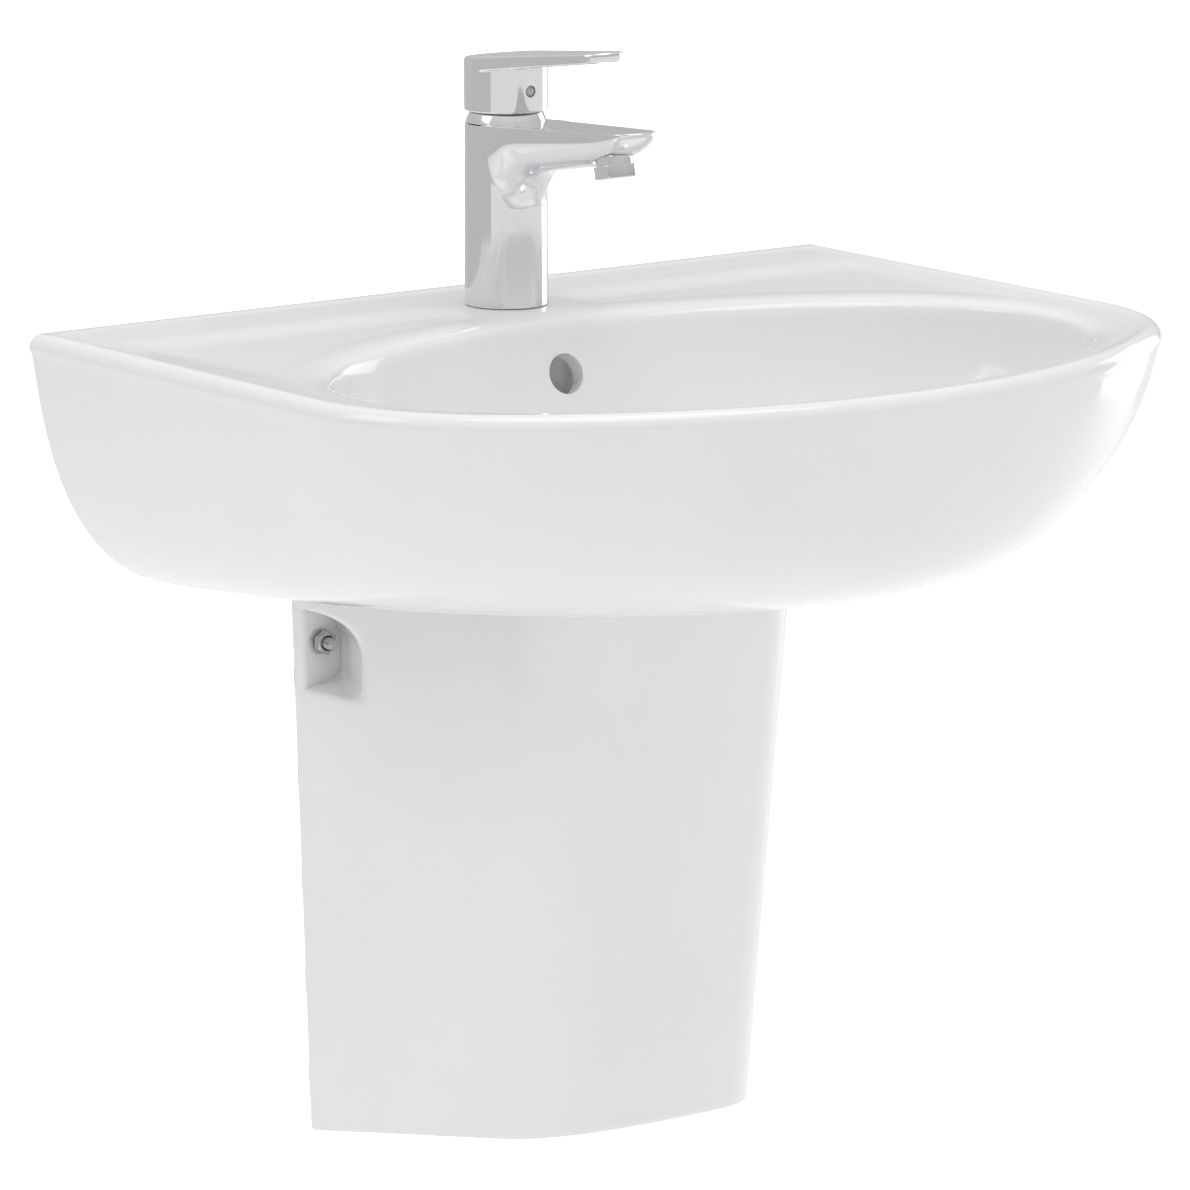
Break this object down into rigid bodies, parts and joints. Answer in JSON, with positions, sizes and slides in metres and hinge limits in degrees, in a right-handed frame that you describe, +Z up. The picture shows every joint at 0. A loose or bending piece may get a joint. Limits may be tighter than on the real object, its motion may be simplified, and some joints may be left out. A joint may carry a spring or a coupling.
{
  "type": "wall-hung washbasin with semi-pedestal and mixer",
  "caption": "White china wall-hung washbasin on a semi-pedestal, with a chrome single-lever mixer, a click-clack waste and a bottle trap.",
  "frame": {"origin": "on the wall plane, midway between the basin's two hanger bolts, 80 mm below the rim's crest", "axes": "+X right as seen from the front, +Y into the wall, +Z up; the user stands on the -Y side"},
  "size_m": [0.6, 0.483, 0.6909],
  "materials": {
    "white_glazed_china": "glossy white glaze",
    "chrome": "polished chrome plate",
    "brass": "machined",
    "zinc_plated_steel": "zinc plated",
    "black_rubber": "matt",
    "white_plastic": "moulded, satin",
    "grey_plastic": "moulded, matt",
    "indicator_plastic": "gloss"
  },
  "bodies": {
    "fixed": {"basin": "white_glazed_china", "semi_pedestal": "white_glazed_china", "mixer_body": "chrome", "collar_ring": "chrome", "aerator_housing": "chrome", "waste_body": "chrome", "wall_rosette": "chrome", "mixer_fixing_nut": "brass", "cartridge_ring_nut": "brass", "waste_back_nut": "brass", "hanger_bolt_left": "zinc_plated_steel", "hanger_bolt_right": "zinc_plated_steel", "hanger_washer_left": "zinc_plated_steel", "hanger_washer_right": "zinc_plated_steel", "hanger_nut_left": "zinc_plated_steel", "hanger_nut_right": "zinc_plated_steel", "pedestal_bolt_left": "zinc_plated_steel", "pedestal_bolt_right": "zinc_plated_steel", "pedestal_washer_left": "zinc_plated_steel", "pedestal_washer_right": "zinc_plated_steel", "pedestal_nut_left": "zinc_plated_steel", "pedestal_nut_right": "zinc_plated_steel", "mixer_steel_washer": "zinc_plated_steel", "mixer_fixing_stud": "zinc_plated_steel", "mixer_base_seal": "black_rubber", "mixer_rubber_washer": "black_rubber", "aerator_seal": "black_rubber", "cartridge_seal": "black_rubber", "waste_upper_seal": "black_rubber", "waste_cone_gasket": "black_rubber", "trap_inlet_washer": "black_rubber", "trap_cup_seal": "black_rubber", "trap_outlet_washer": "black_rubber", "hanger_sleeve_left": "white_plastic", "hanger_sleeve_right": "white_plastic", "cartridge_housing": "white_plastic", "trap_body": "white_plastic", "trap_inlet_nut": "white_plastic", "trap_cup": "white_plastic", "trap_outlet_nut": "white_plastic", "wall_pipe": "white_plastic", "aerator_insert": "grey_plastic", "click_mechanism": "grey_plastic"},
    "mixer_cartridge": {"cartridge_carrier": "grey_plastic", "cartridge_pivot_pin": "zinc_plated_steel"},
    "lever": {"lever_handle": "chrome", "lever_skirt": "chrome", "lever_set_screw": "zinc_plated_steel", "indicator_plug": "indicator_plastic", "cartridge_spindle": "brass"},
    "waste_plug": {"plug_cap": "chrome", "plug_seal": "black_rubber", "plug_stem": "brass"}
  },
  "joints": [
    {"name": "lever_swivel", "type": "hinge", "parent": "fixed", "child": "mixer_cartridge", "pos_m": [0, -0.074, 0.181], "axis": [0, 0, 1], "range_deg": [-45, 45]},
    {"name": "lever_tilt", "type": "hinge", "parent": "mixer_cartridge", "child": "lever", "pos_m": [0, -0.074, 0.181], "axis": [-1, 0, 0], "range_deg": [0, 22]},
    {"name": "plug_slide", "type": "slide", "parent": "fixed", "child": "waste_plug", "axis": [0, 0, 1], "range_m": [0, 0.008]}
  ]
}
